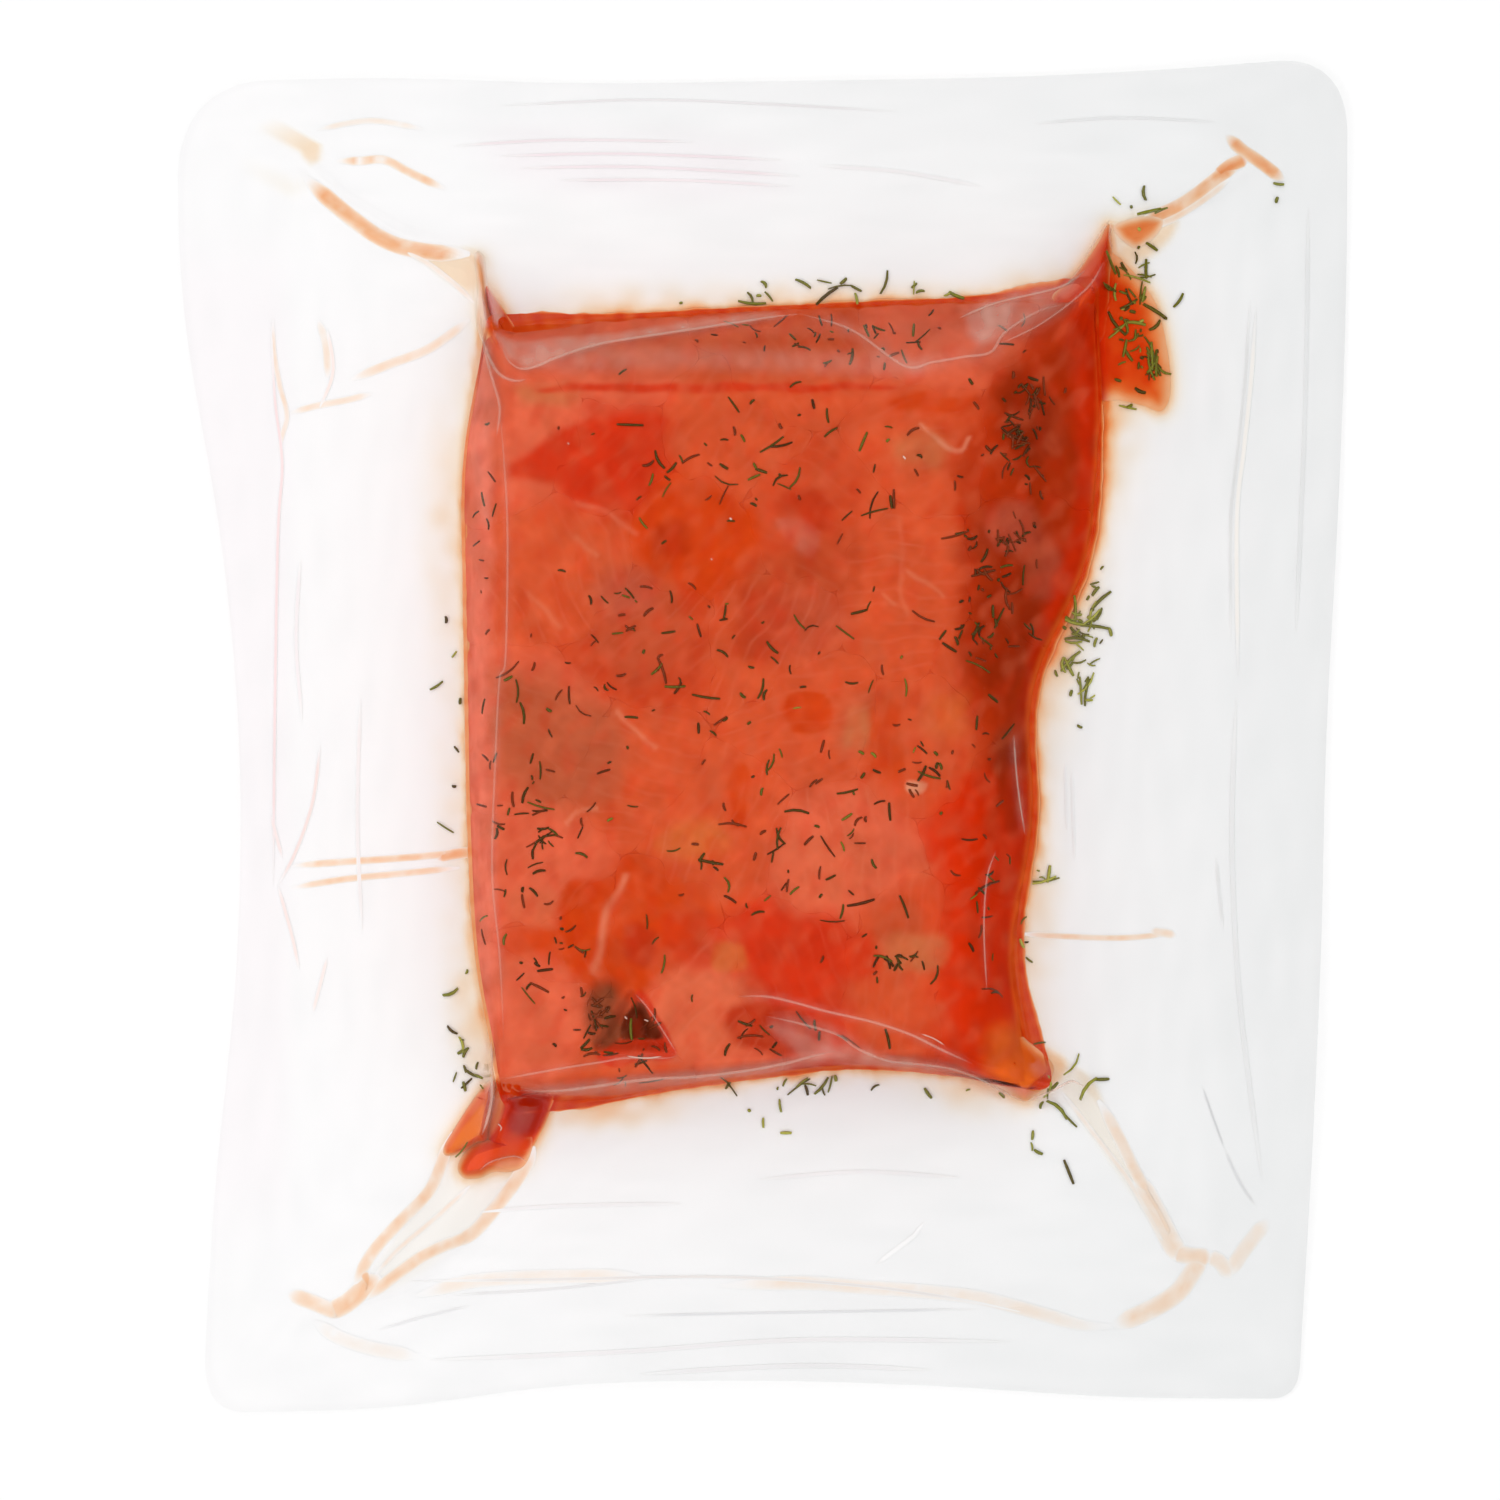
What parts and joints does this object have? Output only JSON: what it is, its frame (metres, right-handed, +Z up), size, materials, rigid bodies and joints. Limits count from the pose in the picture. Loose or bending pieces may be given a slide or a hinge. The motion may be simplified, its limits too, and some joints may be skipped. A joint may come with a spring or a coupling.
{
  "type": "pack of salmon fillet pieces",
  "caption": "Clear sealed vacuum pack of marinated salmon fillet pieces with dill: a pressed block of fish, folded film ears at its corners and a flat film skirt. Lies flat.",
  "frame": {"origin": "middle of the pack's footprint, on the table that its base film lies on", "axes": "+Y along the pack's longer side, +X across it, +Z up through the block of fish, out of the shown side"},
  "size_m": [0.1948, 0.225, 0.0179],
  "materials": {
    "salmon_flesh": "wet orange-red fish under clear film, with pale fat lines",
    "clear_film": "clear glossy film with fine wrinkles",
    "marinade": "clear orange-red oil and juice",
    "dill": "dark green chopped leaf, moist"
  },
  "bodies": {
    "root": {"sealed_pack": "salmon_flesh"}
  },
  "joints": []
}
